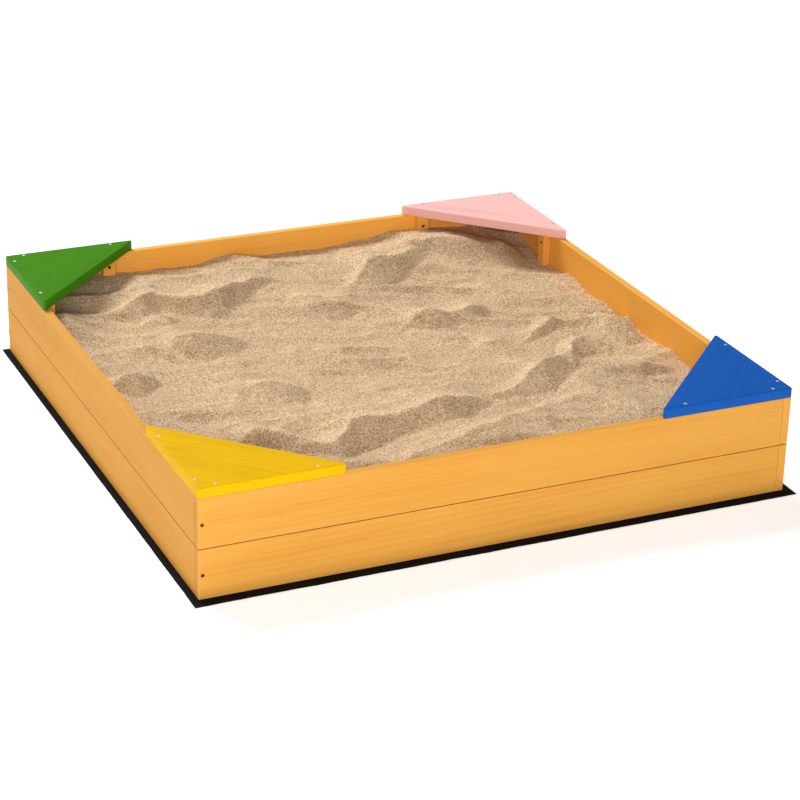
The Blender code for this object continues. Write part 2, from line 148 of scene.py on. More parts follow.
# Random waves and ridges: (cell, height, seed).
RIDGES = ((0.10, 0.0160, 21), (0.048, 0.0048, 22), (0.024, 0.0012, 23))
WAVES = ((0.095, 0.0022, 5), (0.042, 0.0012, 6), (0.019, 0.0007, 7), (0.009, 0.0005, 8))
DUNES = (
    # North-west, with two peaks, and the low one at its foot.
    (((-0.463, 0.372, 0.005), (-0.422, 0.363, 0.027), (-0.370, 0.388, 0.062),
      (-0.331, 0.408, 0.048), (-0.309, 0.386, 0.040), (-0.279, 0.364, 0.041),
      (-0.250, 0.353, 0.048), (-0.213, 0.362, 0.064), (-0.156, 0.394, 0.054),
      (-0.113, 0.420, 0.036), (-0.077, 0.424, 0.014), (-0.044, 0.430, 0.002)), 0.60, 0.17),
    (((-0.450, 0.331, 0.013), (-0.403, 0.293, 0.036), (-0.341, 0.314, 0.039),
      (-0.307, 0.318, 0.013)), 0.25, 0.05),
    # North-east: the ridge, the mound under the seat, and the low one south-west of them.
    (((0.073, 0.337, 0.012), (0.111, 0.372, 0.034), (0.151, 0.411, 0.072), (0.178, 0.417, 0.075),
      (0.212, 0.413, 0.063), (0.242, 0.427, 0.053), (0.290, 0.452, 0.031),
      (0.318, 0.459, 0.016)), 0.45, 0.15),
    (((0.314, 0.477, 0.003), (0.338, 0.477, 0.033), (0.361, 0.475, 0.049), (0.406, 0.466, 0.069),
      (0.451, 0.456, 0.070), (0.498, 0.450, 0.077), (0.528, 0.434, 0.048),
      (0.552, 0.405, 0.011)), 0.30, 0.11),
    (((-0.058, 0.327, 0.021), (-0.020, 0.308, 0.081), (0.017, 0.287, 0.083), (0.060, 0.279, 0.049),
      (0.085, 0.257, 0.017)), 0.22, 0.10),
    # West of the middle, and against the west wall.
    (((-0.386, 0.184, 0.016), (-0.358, 0.173, 0.065), (-0.327, 0.169, 0.082),
      (-0.290, 0.152, 0.075), (-0.251, 0.142, 0.042), (-0.222, 0.134, 0.019)), 0.42, 0.09),
    (((-0.442, 0.189, 0.007), (-0.419, 0.168, 0.027), (-0.399, 0.145, 0.026),
      (-0.380, 0.124, 0.011)), 0.35, 0.05),
    (((-0.575, 0.010, 0.020), (-0.548, 0.028, 0.030), (-0.523, 0.024, 0.068),
      (-0.501, 0.030, 0.061), (-0.467, 0.038, 0.031), (-0.446, 0.041, 0.004)), 0.50, 0.10),
    (((-0.316, -0.086, 0.007), (-0.285, -0.085, 0.053), (-0.255, -0.089, 0.070),
      (-0.228, -0.099, 0.063), (-0.201, -0.110, 0.036), (-0.188, -0.131, 0.008)), 0.32, 0.07),
    # East of the middle.
    (((0.114, 0.114, 0.005), (0.144, 0.130, 0.033), (0.171, 0.126, 0.051), (0.195, 0.117, 0.047),
      (0.209, 0.113, 0.036), (0.246, 0.128, 0.037), (0.287, 0.140, 0.034), (0.311, 0.141, 0.022),
      (0.330, 0.130, 0.002)), 0.52, 0.11),
    (((0.213, -0.028, 0.029), (0.252, -0.028, 0.051), (0.277, -0.046, 0.029)), 0.28, 0.06),
    (((0.317, -0.036, 0.008), (0.356, -0.004, 0.022), (0.395, 0.027, 0.026), (0.427, 0.043, 0.020),
      (0.447, 0.036, 0.004)), 0.55, 0.07),
    (((0.497, 0.018, 0.019), (0.510, 0.000, 0.055), (0.527, -0.020, 0.076), (0.547, -0.039, 0.066),
      (0.568, -0.068, 0.034)), 0.42, 0.07),
    # The long diagonal in the south-east, and the hollow beside it.
    (((0.097, -0.269, 0.005), (0.146, -0.266, 0.022), (0.183, -0.256, 0.036),
      (0.223, -0.233, 0.056), (0.266, -0.209, 0.076), (0.347, -0.159, 0.050),
      (0.397, -0.090, 0.052), (0.436, -0.070, 0.056), (0.464, -0.110, 0.044),
      (0.515, -0.164, 0.023), (0.559, -0.190, 0.005)), 0.42, 0.055),
    (((0.322, -0.159, 0.006), (0.342, -0.184, 0.034), (0.399, -0.206, 0.030),
      (0.473, -0.237, 0.032), (0.531, -0.258, 0.013)), 0.45, 0.03),
    # South-west, with three peaks.
    (((-0.417, -0.284, 0.002), (-0.393, -0.288, 0.022), (-0.368, -0.291, 0.045),
      (-0.354, -0.306, 0.048), (-0.333, -0.337, 0.044), (-0.313, -0.362, 0.036),
      (-0.286, -0.383, 0.031), (-0.266, -0.392, 0.035), (-0.247, -0.384, 0.051),
      (-0.205, -0.342, 0.067), (-0.171, -0.336, 0.067), (-0.141, -0.336, 0.055),
      (-0.099, -0.334, 0.038), (-0.064, -0.325, 0.044), (-0.026, -0.311, 0.061),
      (0.009, -0.303, 0.064), (0.043, -0.298, 0.045), (0.090, -0.290, 0.020),
      (0.124, -0.288, 0.002)), 0.60, 0.16),
    # The low one at the south wall.
    (((-0.190, -0.495, 0.060), (-0.120, -0.475, 0.090), (-0.040, -0.450, 0.100),
      (0.060, -0.410, 0.100), (0.130, -0.375, 0.090), (0.200, -0.350, 0.080),
      (0.270, -0.335, 0.060), (0.340, -0.320, 0.040)), 0.13, 0.045),
)


class Shader:
    """A material's node tree, with short calls to add nodes and to join them."""

    def __init__(self, name):
        self.material = bpy.data.materials.new(name)
        self.material.use_nodes = True
        self.tree = self.material.node_tree
        self.surface = self.tree.nodes["Principled BSDF"]

    def put(self, socket, value):
        if isinstance(value, bpy.types.NodeSocket):
            self.tree.links.new(value, socket)
        else:
            socket.default_value = value

    def add(self, kind, inputs=None, **settings):
        made = self.tree.nodes.new("ShaderNode" + kind)
        for name, value in settings.items():
            setattr(made, name, value)
        for name, value in (inputs or {}).items():
            self.put(made.inputs[name], value)
        return made

    def math(self, operation, first, second=0.0, third=0.0, clamp=False):
        inputs = {0: first, 1: second, 2: third}
        return self.add("Math", inputs, operation=operation, use_clamp=clamp).outputs[0]

    def vector(self, operation, first, second=(0.0, 0.0, 0.0)):
        made = self.add("VectorMath", {0: first, 1: second}, operation=operation)
        return made.outputs["Value" if operation in ("LENGTH", "DOT_PRODUCT") else "Vector"]

    def ramp(self, factor, *stops, smooth=False):
        """A colour ramp from (place, colour) stops; a single number stands for a grey."""
        made = self.add("ValToRGB", {"Fac": factor})
        made.color_ramp.interpolation = "EASE" if smooth else "LINEAR"
        elements = made.color_ramp.elements
        while len(elements) < len(stops):
            elements.new(0.5)
        for element, (place, colour) in zip(elements, stops):
            element.position = place
            element.color = (*colour, 1.0) if hasattr(colour, "__len__") else (colour,) * 3 + (1.0,)
        return made.outputs["Color"]

    def mix(self, factor, first, second, blend="MIX"):
        made = self.tree.nodes.new("ShaderNodeMix")
        made.data_type = "RGBA"
        made.blend_type = blend
        for index, value in ((0, factor), (6, first), (7, second)):
            if isinstance(value, tuple) and len(value) == 3:
                value = (*value, 1.0)
            self.put(made.inputs[index], value)
        return made.outputs[2]

    def place(self):
        """Points in the row frame, in metres."""
        return self.add("TexCoord").outputs["Object"]

    def moved(self, vector, scale=(1.0, 1.0, 1.0), turn=(0.0, 0.0, 0.0), shift=(0.0, 0.0, 0.0)):
        inputs = {"Vector": vector, "Scale": scale, "Rotation": turn, "Location": shift}
        return self.add("Mapping", inputs).outputs["Vector"]

    def noise(self, vector, scale=1.0, detail=2.0, roughness=0.5, distortion=0.0):
        inputs = {"Vector": vector, "Scale": scale, "Detail": detail, "Roughness": roughness,
                  "Distortion": distortion}
        return self.add("TexNoise", inputs).outputs["Fac"]

    def bump(self, height, depth, strength=1.0, below=None):
        inputs = {"Height": height, "Distance": depth, "Strength": strength}
        if below is not None:
            inputs["Normal"] = below
        return self.add("Bump", inputs).outputs["Normal"]

    def finish(self, colour, roughness, normal=None, metallic=0.0):
        self.put(self.surface.inputs["Base Color"], colour)
        self.put(self.surface.inputs["Roughness"], roughness)
        self.put(self.surface.inputs["Metallic"], metallic)
        if normal is not None:
            self.put(self.surface.inputs["Normal"], normal)
        return self.material


# Which way the grain runs, as the turn that takes it to +X.
GRAIN_TURNS = {
    "X": (0.0, 0.0, 0.0),
    "Y": (0.0, 0.0, -math.pi / 2),
    "Z": (0.0, math.pi / 2, 0.0),
}


def arris_mask(shader, point, low, high, width):
    """1 on the long edges of the box between low and high, falling to 0 over width."""
    from_low = shader.vector("SUBTRACT", point, tuple(low))
    from_high = shader.vector("SUBTRACT", tuple(high), point)
    nearest = shader.vector("MINIMUM", from_low, from_high)
    parts = shader.add("SeparateXYZ", {0: nearest}).outputs
    lesser = shader.math("MINIMUM", parts[0], parts[1])
    greater = shader.math("MAXIMUM", parts[0], parts[1])
    second = shader.math("MAXIMUM", lesser, shader.math("MINIMUM", greater, parts[2]))
    return shader.add("MapRange", {"Value": second, "From Min": width, "From Max": 0.0},
                      interpolation_type="SMOOTHSTEP").outputs["Result"]


def height_of(shader, point):
    return shader.add("SeparateXYZ", {0: point}).outputs[2]


def timber(name, grain, seed, low, high, shade=1.0, butted=None):
    """Softwood under a honey-coloured stain, with its rings, fibres, end grain and worn edges.

    shade multiplies the stain's colour, as painted light and shade: each side lighter or darker for
    the light it gets.
    butted is the way in which a board's hidden end points; the colour is darker along that joint and
    along the seam.
    """
    shader = Shader(name)
    point = shader.place()
    shift = (3.7 * seed, 0.213 * seed, 0.137 * seed)
    along = shader.moved(point, turn=GRAIN_TURNS[grain])
    local = shader.vector("ADD", along, shift)

    bend = shader.noise(shader.moved(local, (0.9, 4.0, 4.0)), detail=2.0)
    swing = shader.math("MULTIPLY_ADD", bend, 0.070, -0.035)
    parts = shader.add("SeparateXYZ", {0: along}).outputs
    pith = (0.020 + 0.011 * (seed % 5), 0.060 + 0.013 * (seed % 3))
    across = shader.math("ADD", shader.math("ADD", parts[2], swing), pith[0])
    deep = shader.math("ADD", shader.math("ABSOLUTE", parts[1]), pith[1] - INNER)
    radius = shader.vector("LENGTH", shader.add("CombineXYZ", {0: 0.0, 1: across, 2: deep}).outputs[0])
    wave = shader.math("SINE", shader.math("MULTIPLY", radius, 2 * math.pi / RING_SPACING))
    rings = shader.math("POWER", shader.math("MULTIPLY_ADD", wave, 0.5, 0.5), 2.2)
    faded = shader.noise(shader.moved(local, (1.1, 14.0, 14.0)), detail=1.0)
    rings = shader.math("MULTIPLY", rings, shader.ramp(faded, (0.40, 0.15), (0.65, 1.0)))

    fibres = shader.noise(shader.moved(local, (8.0, 420.0, 420.0)), detail=3.0, roughness=0.65)
    bands = shader.noise(shader.moved(local, (1.6, 34.0, 34.0)), detail=3.0, roughness=0.6)
    blotches = shader.noise(local, 4.0, detail=3.0, roughness=0.6)

    tone = shader.math("MULTIPLY_ADD", rings, 0.13, shader.math("MULTIPLY", fibres, 0.38))
    tone = shader.math("ADD", tone, shader.math("MULTIPLY", bands, 0.42))
    tone = shader.math("ADD", tone, shader.math("MULTIPLY", blotches, 0.26))
    colour = shader.ramp(tone, *zip((0.36, 0.58, 0.86), STAIN))

    facing = shader.moved(shader.add("TexCoord").outputs["Normal"], turn=GRAIN_TURNS[grain])
    end_on = shader.math("ABSOLUTE", shader.add("SeparateXYZ", {0: facing}).outputs[0])
    end_on = shader.math("GREATER_THAN", end_on, 0.75)
    pores = shader.noise(local, 900.0, detail=2.0)
    end_tone = shader.math("MULTIPLY_ADD", rings, 0.5, shader.math("MULTIPLY", pores, 0.5))
    end_colour = shader.ramp(end_tone, *zip((0.15, 0.85), END_STAIN))
    colour = shader.mix(end_on, colour, end_colour)

    # Painted light and shade: the whole piece made lighter or darker for the light its side gets.
    colour = shader.mix(1.0, colour, (shade, shade, shade), "MULTIPLY")

    worn = arris_mask(shader, point, low, high, WORN_WIDTH)
    patchy = shader.noise(local, 45.0, detail=3.0, roughness=0.7)
    worn = shader.math("MULTIPLY", worn, shader.math("MULTIPLY", patchy, 0.55), clamp=True)
    colour = shader.mix(worn, colour, WORN_WOOD)
    # Darker along the seam between the courses and along the butted joint.
    if butted:
        from_seam = shader.math("ABSOLUTE", shader.math("SUBTRACT", height_of(shader, point), SEAM))
        from_joint = shader.math("SUBTRACT", INNER, shader.vector("DOT_PRODUCT", point, butted))
        gap = shader.math("MINIMUM", from_seam, shader.math("ABSOLUTE", from_joint))
        seam_darkening = shader.add("MapRange", {"Value": gap, "From Min": SEAM_DARK_WIDTH, "From Max": SEAM_DARK_CORE},
                           interpolation_type="SMOOTHSTEP").outputs["Result"]
        seam_darkening = shader.math("MULTIPLY", seam_darkening, 0.82)
        colour = shader.mix(seam_darkening, colour, SEAM_DARK_COLOUR)

    roughness = shader.math("MULTIPLY_ADD", fibres, 0.25, 0.46)
    relief = shader.math("MULTIPLY_ADD", rings, 0.35, fibres)
    normal = shader.bump(relief, 0.00022, 0.5)
    dents = shader.noise(local, 28.0, detail=2.0)
    normal = shader.bump(dents, 0.0012, 0.10, normal)
    shader.surface.inputs["Specular IOR Level"].default_value = 0.07
    return shader.finish(colour, roughness, normal)


def paint(name, colour, turn, seed):
    """Satin paint brushed on softwood: the grain, which runs with the long side, shows through."""
    shader = Shader(name)
    point = shader.place()
    along = shader.moved(point, turn=(0.0, 0.0, math.pi / 4 - turn * math.pi / 2))
    local = shader.vector("ADD", along, (1.9 * seed, 0.7 * seed, 0.0))
    streaks = shader.noise(shader.moved(local, (7.0, 150.0, 150.0)), detail=3.0, roughness=0.6)
    bands = shader.noise(shader.moved(local, (2.0, 26.0, 26.0)), detail=2.0, distortion=0.6)
    blotches = shader.noise(local, 14.0, detail=3.0, roughness=0.6)
    tone = shader.math("MULTIPLY_ADD", streaks, 0.45, shader.math("MULTIPLY", bands, 0.40))
    tone = shader.math("ADD", tone, shader.math("MULTIPLY", blotches, 0.25))
    dark = tuple(0.80 * part for part in colour)
    light = tuple(min(1.0, 1.12 * part) for part in colour)
    painted = shader.ramp(tone, (0.30, dark), (0.56, colour), (0.85, light))
    # Painted highlight: the rounded top edge and the sides below it are painted lighter than the flat
    # top.
    height = height_of(shader, point)
    rounded = shader.add("MapRange", {"Value": height, "From Min": SEAT_TOP - 0.0003,
                                      "From Max": SEAT_TOP - SEAT_EDGE},
                         interpolation_type="SMOOTHSTEP").outputs["Result"]
    edge_highlight = tuple(min(1.0, 1.06 * part + 0.004) for part in colour)
    painted = shader.mix(shader.math("MULTIPLY", rounded, 0.5), painted, edge_highlight)
    roughness = shader.math("MULTIPLY_ADD", blotches, 0.18, 0.40)
    shader.surface.inputs["Specular IOR Level"].default_value = 0.035
    normal = shader.bump(streaks, 0.00016, 0.6)
    normal = shader.bump(bands, 0.0009, 0.25, normal)
    brush = shader.noise(shader.moved(local, (30.0, 520.0, 520.0)), detail=2.0)
    normal = shader.bump(brush, 0.00006, 0.5, normal)
    return shader.finish(painted, roughness, normal)


def metal(name, bright, dull, rough):
    """Plated or oxidised steel with fine scratches and stains."""
    shader = Shader(name)
    point = shader.place()
    stains = shader.noise(point, 420.0, detail=4.0, roughness=0.65)
    scratches = shader.noise(shader.moved(point, (260.0, 2600.0, 2600.0)), detail=2.0)
    colour = shader.ramp(stains, (0.30, dull), (0.62, bright))
    roughness = shader.math("MULTIPLY_ADD", scratches, 0.22, rough)
    normal = shader.bump(scratches, 0.00003, 0.5)
    return shader.finish(colour, roughness, normal, 1.0)


def ground_cloth():
    """Black woven polypropylene: flat tapes that cross over and under each other."""
    shader = Shader("black_ground_cloth")
    point = shader.place()
    parts = shader.add("SeparateXYZ", {0: point}).outputs
    over = [shader.math("SINE", shader.math("MULTIPLY", part, math.pi / TAPE)) for part in parts[:2]]
    crossing = shader.math("MULTIPLY", over[0], over[1])
    ridges = [shader.math("ABSOLUTE", wave) for wave in over]
    warp = shader.math("GREATER_THAN", crossing, 0.0)
    weave = shader.add("Mix", {0: warp, 2: ridges[0], 3: ridges[1]}).outputs[0]
    fibres = shader.noise(shader.moved(point, (700.0, 700.0, 200.0)), detail=3.0)
    dust = shader.noise(point, 9.0, detail=5.0, roughness=0.7)
    colour = shader.ramp(weave, (0.1, (0.0012, 0.0012, 0.0013)), (0.9, (0.0042, 0.0042, 0.0044)))
    dusty = shader.math("MULTIPLY", shader.ramp(dust, (0.55, 0.0), (0.80, 1.0)), 0.03)
    colour = shader.mix(dusty, colour, (0.03, 0.03, 0.03))
    roughness = shader.math("MULTIPLY_ADD", fibres, 0.2, 0.68)
    normal = shader.bump(weave, 0.0002, 0.7)
    shader.surface.inputs["Specular IOR Level"].default_value = 0.10
    return shader.finish(colour, roughness, normal)


def play_sand():
    """Dry washed sand, with painted shade on the dune faces and on the slopes away from the light, and
    a painted highlight by the crests and on the slopes facing it.
    """
    shader = Shader("play_sand")
    point = shader.place()
    shade_mark = shader.add("Attribute", attribute_name="painted_face_shade").outputs["Fac"]
    highlight_mark = shader.add("Attribute", attribute_name="painted_crest_highlight").outputs["Fac"]
    grains = shader.add("TexVoronoi", {"Vector": point, "Scale": 430.0}, feature="F1")
    grain_tint = shader.add("SeparateColor", {0: grains.outputs["Color"]}).outputs[0]
    clumps = shader.noise(point, 300.0, detail=1.5, roughness=0.5)
    drift = shader.noise(point, 11.0, detail=4.0, roughness=0.6)
    lit = shader.ramp(clumps, (0.34, (0.44, 0.290, 0.156)), (0.50, (0.635, 0.438, 0.252)),
                      (0.66, (0.84, 0.625, 0.398)))
    pale = shader.math("GREATER_THAN", grain_tint, 0.78)
    lit = shader.mix(shader.math("MULTIPLY", pale, 0.35), lit, (0.98, 0.84, 0.62))
    dark = shader.math("LESS_THAN", grain_tint, 0.16)
    lit = shader.mix(shader.math("MULTIPLY", dark, 0.50), lit, (0.20, 0.12, 0.07))
    tinted = shader.mix(shader.math("MULTIPLY", drift, 0.22), lit, (0.56, 0.36, 0.20))
    # Painted shade: the sand darkened on the dune faces and on slopes that face away from the light.
    shaded_sand = shader.mix(1.0, tinted, (0.70, 0.66, 0.63), "MULTIPLY")
    colour = shader.mix(shader.math("MULTIPLY", shade_mark, 0.66), tinted, shaded_sand)
    # Painted highlight: the sand lightened by the crests and on slopes that face the light.
    fine = shader.mix(1.0, tinted, (1.24, 1.25, 1.26), "MULTIPLY")
    colour = shader.mix(highlight_mark, colour, fine)
    normal = shader.bump(clumps, 0.0024, 0.85)
    normal = shader.bump(grains.outputs["Distance"], 0.0008, 0.6, normal)
    shader.surface.inputs["Specular IOR Level"].default_value = 0.12
    return shader.finish(colour, 0.95, normal)


def floor_paper():
    """The pale, plain studio floor."""
    shader = Shader("studio_floor")
    mottle = shader.noise(shader.place(), 1.5, detail=2.0)
    colour = shader.ramp(mottle, (0.3, 0.77), (0.7, 0.79))
    shader.surface.inputs["Emission Color"].default_value = (1.0, 1.0, 1.0, 1.0)
    shader.surface.inputs["Emission Strength"].default_value = FLOOR_GLOW
    shader.surface.inputs["Specular IOR Level"].default_value = 0.1
    return shader.finish(colour, 0.9)


def new_object(name, mesh, surface):
    made = bpy.data.objects.new(name, mesh)
    bpy.context.scene.collection.objects.link(made)
    if not mesh.materials:
        mesh.materials.append(surface)
    return made


def mesh_of(name, bm, sharp=40.0):
    mesh = bpy.data.meshes.new(name)
    bm.to_mesh(mesh)
    bm.free()
    mesh.shade_smooth()
    mesh.set_sharp_from_angle(angle=math.radians(sharp))
    return mesh


def quarter_turn(count):
    return Matrix.Rotation(count * math.pi / 2, 4, "Z")


def revolved(bm, rings):
    """Closes a stack of equal rings of vertices, bottom first, into a solid."""
    for lower, upper in zip(rings, rings[1:]):
        for index, start in enumerate(lower):
            following = (index + 1) % len(lower)
            bm.faces.new((start, lower[following], upper[following], upper[index]))
    bm.faces.new(rings[0][::-1])
    bm.faces.new(rings[-1])


def cut(target, cutter):
    """Takes the cutter out of the target, then deletes the cutter."""
    modifier = target.modifiers.new("cut", "BOOLEAN")
    modifier.operation = "DIFFERENCE"
    modifier.solver = "EXACT"
    modifier.object = cutter
    graph = bpy.context.evaluated_depsgraph_get()
    carved = bpy.data.meshes.new_from_object(target.evaluated_get(graph))
    target.modifiers.clear()
    target.data = carved
    bpy.data.objects.remove(cutter, do_unlink=True)


def recess_depth(x, y):
    """How deep the cross of the screwdriver recess is at a point of a screw's head."""
    longer, shorter = max(abs(x), abs(y)), min(abs(x), abs(y))
    across = min(max((RECESS_WIDTH / 2 + 0.0001 - shorter) / 0.0002, 0.0), 1.0)
    along = min(max((RECESS_ARM - longer) / 0.0003, 0.0), 1.0)
    return RECESS_DEPTH * (1.0 - 0.65 * longer / RECESS_ARM) * across * along


def screw_mesh(name, length, surface):
    """A countersunk wood screw: its head's face at the origin, its point down -Z."""
    bm = bmesh.new()
    rings = []

    def ring(radius_at, height_at):
        verts = []
        for step in range(SCREW_SIDES):
            angle = 2 * math.pi * step / SCREW_SIDES
            radius = radius_at(angle)
            x, y = radius * math.cos(angle), radius * math.sin(angle)
            verts.append(bm.verts.new((x, y, height_at(x, y))))
        rings.append(verts)

    def thread(height):
        taper = min(1.0, max(0.12, (length + height) / POINT_LENGTH))

        def radius(angle):
            phase = (height / THREAD_PITCH - angle / (2 * math.pi)) % 1.0
            ridge = max(0.0, 1.0 - abs(phase - 0.5) * 4.0)
            return (CORE_RADIUS + (SHANK_RADIUS - CORE_RADIUS) * ridge) * taper

        return radius

    threaded = length * THREADED_SHARE
    steps = round(threaded / THREAD_PITCH * RINGS_PER_PITCH)
    for step in range(steps + 1):
        height = -length + threaded * step / steps
        ring(thread(height), lambda x, y, height=height: height)
    for radius, height in ((SHANK_RADIUS * 0.95, threaded - length + 0.0005),
                           (SHANK_RADIUS * 0.95, -HEAD_DEPTH),
                           (HEAD_RADIUS - 0.0002, -0.0004), (HEAD_RADIUS, -0.0002)):
        ring(lambda angle, radius=radius: radius, lambda x, y, height=height: height)
    for share in (0.97, 0.90, 0.80, 0.70, 0.60, 0.54, 0.47, 0.38, 0.28, 0.18, 0.08):
        crown = HEAD_CROWN * (1 - share * share) - 0.00005
        ring(lambda angle, share=share: HEAD_RADIUS * share,
             lambda x, y, crown=crown: crown - recess_depth(x, y))
    revolved(bm, rings)
    mesh = mesh_of(name, bm, 35.0)
    mesh.materials.append(surface)
    return mesh


def place_screw(name, mesh, place, node):
    """A detailed screw in the place of its CAD node, turned as the driver left it."""
    screw = bpy.data.objects.new(f"{name}_detail", mesh)
    bpy.context.scene.collection.objects.link(screw)
    spin = (sum(map(ord, name)) * 37) % 90
    screw.matrix_world = place @ Matrix.Rotation(math.radians(spin), 4, "Z")
    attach(screw, "root")
    if node:
        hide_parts(node)


def head_place(x, y, z, tilt=0.0):
    """A place whose +Z is the way a screw's head faces: upward, or tilted about X."""
    return Matrix.Translation((x, y, z)) @ Matrix.Rotation(tilt, 4, "X")


def batten_middles(turn):
    """(name, x) of the two battens of a side, on the south side's own axes."""
    found = []
    for end in (SIDES[turn - 1], SIDES[(turn + 1) % 4]):
        name = f"{SIDES[turn]}_wall_{end}_batten"
        low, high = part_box(name)
        middle = quarter_turn(-turn) @ ((low + high) / 2)
        found.append((name, middle.x))
    return found


def add_screws():
    zinc = metal("plated_steel", (0.60, 0.59, 0.56), (0.40, 0.39, 0.37), 0.50)
    bronze = metal("dark_steel", (0.16, 0.09, 0.05), (0.05, 0.03, 0.02), 0.42)
    seat_screw = screw_mesh("seat_screw", SEAT_SCREW_LENGTH, zinc)
    corner_screw = screw_mesh("corner_screw", CORNER_SCREW_LENGTH, bronze)
    batten_screw = screw_mesh("batten_screw", BATTEN_SCREW_LENGTH, bronze)
    for turn, side in enumerate(SIDES):
        place = quarter_turn(turn)
        for course in COURSES:
            node = f"{side}_{course}_corner_screw"
            low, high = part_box(node)
            height = (low.z + high.z) / 2
            x = (INNER - HALF) / 2 - INNER
            place_screw(node, corner_screw, place @ head_place(x, -HALF, height, math.pi / 2), node)
        for name, middle in batten_middles(turn):
            node = f"{name}_screw"
            low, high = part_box(node)
            height = (low.z + high.z) / 2
            spot = head_place(middle, -BATTEN_FACE, height, -math.pi / 2)
            place_screw(node, batten_screw, place @ spot, node)
        seat = f"{PAINTS[turn]}_seat"
        for distance, word in ((SEAT_SCREW_NEAR, "near"), (SEAT_SCREW_FAR, "far")):
            spots = ((distance, SEAT_SCREW_INSET, side), (SEAT_SCREW_INSET, distance, SIDES[turn - 1]))
            for from_west, from_south, below in spots:
                node = f"{seat}_{below}_{word}_screw"
                spot = head_place(-HALF + from_west, -HALF + from_south, SEAT_TOP)
                place_screw(node, seat_screw, place @ spot, node)


def rounded_outline(corners, inset):
    """The (x, y) points of a polygon drawn in by inset, each corner rounded by its own radius.

    Each corner is (point, radius, steps in its arc), and they run anticlockwise.
    """
    outline = []
    for index, (corner, radius, steps) in enumerate(corners):
        corner = Vector(corner)
        before = (Vector(corners[index - 1][0]) - corner).normalized()
        after = (Vector(corners[(index + 1) % len(corners)][0]) - corner).normalized()
        half_angle = before.angle(after) / 2
        inward = (before + after).normalized() / math.sin(half_angle)
        rounding = max(radius - inset, SHARP_RADIUS)
        centre = corner + inward * (inset + rounding)
        start = corner + inward * inset + before * rounding / math.tan(half_angle) - centre
        turn = math.pi - 2 * half_angle
        for step in range(steps + 1):
            outline.append(centre + Matrix.Rotation(turn * step / steps, 2) @ start)
    return outline


def countersink_cutter(bm, x, y):
    """Adds a screw hole with a conical mouth to bm, at (x, y) in a seat."""
    sides = 32
    rings = []
    profile = ((SHANK_RADIUS + GAP, SEAT_FOOT - 0.002),
               (SHANK_RADIUS + GAP, SEAT_TOP - HEAD_DEPTH - GAP),
               (HEAD_RADIUS + GAP, SEAT_TOP - GAP),
               (HEAD_RADIUS + GAP, SEAT_TOP + 0.004))
    for radius, height in profile:
        verts = []
        for step in range(sides):
            angle = 2 * math.pi * step / sides
            verts.append(bm.verts.new((x + radius * math.cos(angle), y + radius * math.sin(angle),
                                       height)))
        rings.append(verts)
    revolved(bm, rings)


def seat_mesh(name, surface):
    """The south-west seat: a triangular plate with rounded-over edges and four screw holes."""
    low = -HALF
    corners = (
        ((low, low), SEAT_CORNER_RADIUS, 6),
        ((low + SEAT_LEG, low), SEAT_TIP_RADIUS, 12),
        ((low, low + SEAT_LEG), SEAT_TIP_RADIUS, 12),
    )
    edge_steps = 7
    levels = [(SEAT_LOWER_EDGE, SEAT_FOOT),
              (SEAT_LOWER_EDGE * 0.3, SEAT_FOOT + SEAT_LOWER_EDGE * 0.3),
              (0.0, SEAT_FOOT + SEAT_LOWER_EDGE)]
    for step in range(edge_steps + 1):
        angle = math.pi / 2 * step / edge_steps
        inset = SEAT_EDGE * (1 - math.cos(angle))
        levels.append((inset, SEAT_TOP - SEAT_EDGE + SEAT_EDGE * math.sin(angle)))
    bm = bmesh.new()
    rings = []
    for inset, height in levels:
        outline = rounded_outline(corners, inset)
        rings.append([bm.verts.new((point.x, point.y, height)) for point in outline])
    revolved(bm, rings)
    plate = new_object(name, mesh_of(name, bm), surface)
    holes = bmesh.new()
    for distance in (SEAT_SCREW_NEAR, SEAT_SCREW_FAR):
        countersink_cutter(holes, low + distance, low + SEAT_SCREW_INSET)
        countersink_cutter(holes, low + SEAT_SCREW_INSET, low + distance)
    cutter_mesh = bpy.data.meshes.new("holes")
    holes.to_mesh(cutter_mesh)
    holes.free()
    cutter = bpy.data.objects.new("holes", cutter_mesh)
    bpy.context.scene.collection.objects.link(cutter)
    cut(plate, cutter)
    plate.data.shade_smooth()
    plate.data.set_sharp_from_angle(angle=math.radians(35))
    return plate


def add_seats():
    colours = {
        "yellow": (0.775, 0.445, 0.0004),
        "blue": (0.008, 0.096, 0.415),
        "pink": (0.960, 0.530, 0.490),
        "green": (0.054, 0.230, 0.0012),
    }
    for turn, word in enumerate(PAINTS):
        surface = paint(f"{word}_paint", colours[word], turn, turn + 1)
        seat = seat_mesh(f"{word}_seat_detail", surface)
        seat.data.transform(quarter_turn(turn))
        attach(seat, "root")
        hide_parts(f"{word}_corner_seat")


def stain_timber():
    """Gives every board and batten its own piece of wood."""
    names = [f"{side}_{course}_board" for side in SIDES for course in COURSES]
    for turn, side in enumerate(SIDES):
        names += [name for name, _ in batten_middles(turn)]
    for seed, name in enumerate(names):
        if name.endswith("batten"):
            grain = "Z"
        else:
            grain = "X" if name.startswith(("south", "north")) else "Y"
        low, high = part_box(name)
        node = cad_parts[name]
        node.data.materials.clear()
        butted = None
        if name.endswith("board"):
            butted = tuple(quarter_turn(SIDES.index(name.split("_")[0])) @ Vector((1.0, 0.0, 0.0)))
        # The painted light and shade of this side.
        shade = PAINTED_SIDE_LIGHT[name.split("_")[0]]
        wood = timber(f"stained_{name}", grain, seed + 1, low, high, shade, butted)
        node.data.materials.append(wood)


